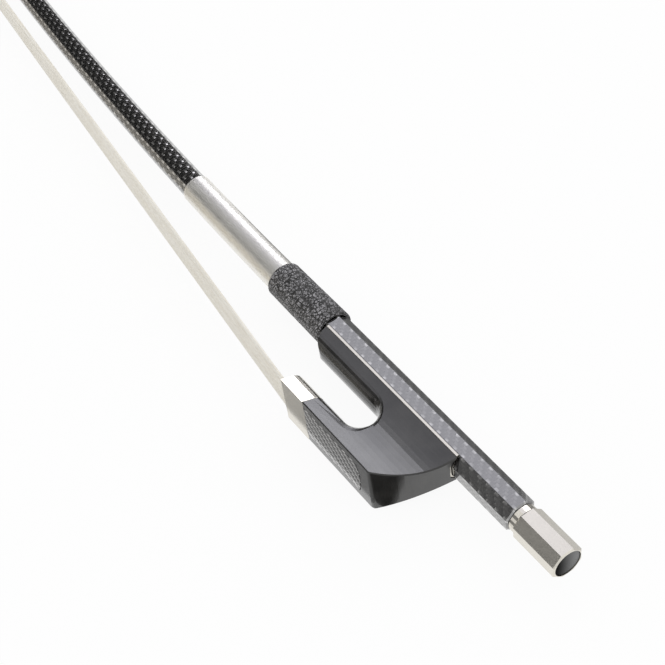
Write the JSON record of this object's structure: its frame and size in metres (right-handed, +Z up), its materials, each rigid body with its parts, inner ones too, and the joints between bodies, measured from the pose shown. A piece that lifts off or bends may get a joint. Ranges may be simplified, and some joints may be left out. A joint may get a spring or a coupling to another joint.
{
  "type": "double bass bow",
  "caption": "French-pattern double bass bow on its side: cambered carbon stick with an octagonal butt, and an open-throat frog drawn back along it by a screw with an octagonal button.",
  "frame": {"origin": "middle of the bounding box in X and Y, on its lowest plane, with the bow lying on its side", "axes": "+X along the adjusting screw from the button towards the head, +Y from the stick towards the hair, +Z up, square to the bow's plane of symmetry"},
  "size_m": [0.6998, 0.082, 0.0235],
  "materials": {
    "carbon": "carbon weave under clear gloss lacquer",
    "carbon_weave": "carbon weave, gloss",
    "black_composite": "polished black",
    "nickel_silver": "polished nickel silver",
    "winding_wire": "fine close-wound silver wire",
    "steel": "turned",
    "brass": "plain",
    "leather": "grained black",
    "horsehair": "unbleached white hair",
    "face_plate": "ivory coloured",
    "maple": "plain"
  },
  "bodies": {
    "stick": {"stick": "carbon", "head_liner": "black_composite", "head_plate": "face_plate", "head_hair_plug": "maple", "head_hair_knot": "horsehair", "hair": "horsehair", "grip_leather": "leather", "winding": "winding_wire", "butt_bush": "brass"},
    "frog": {"frog_body": "black_composite", "slide": "carbon_weave", "ferrule": "nickel_silver", "underslide": "nickel_silver", "underslide_screw_rear": "nickel_silver", "underslide_screw_front": "nickel_silver", "ferrule_wedge": "maple", "frog_hair_plug": "maple", "frog_hair_knot": "horsehair", "eyelet": "brass"},
    "screw": {"button_shell": "nickel_silver", "button_core": "black_composite", "adjusting_screw": "steel"}
  },
  "joints": [
    {"name": "screw_turn", "type": "hinge", "parent": "stick", "child": "screw", "pos_m": [-0.32468, 0.00615, 0.01175], "axis": [1, 0, 0], "range_deg": [0, 2880]},
    {"name": "frog_slide", "type": "slide", "parent": "stick", "child": "frog", "axis": [-1, 0, 0], "range_m": [0, 0.008], "deforming": ["hair"]}
  ],
  "couplings": [
    {"joint": "frog_slide", "follows": "screw_turn", "m_per_rad": 0.000159}
  ]
}
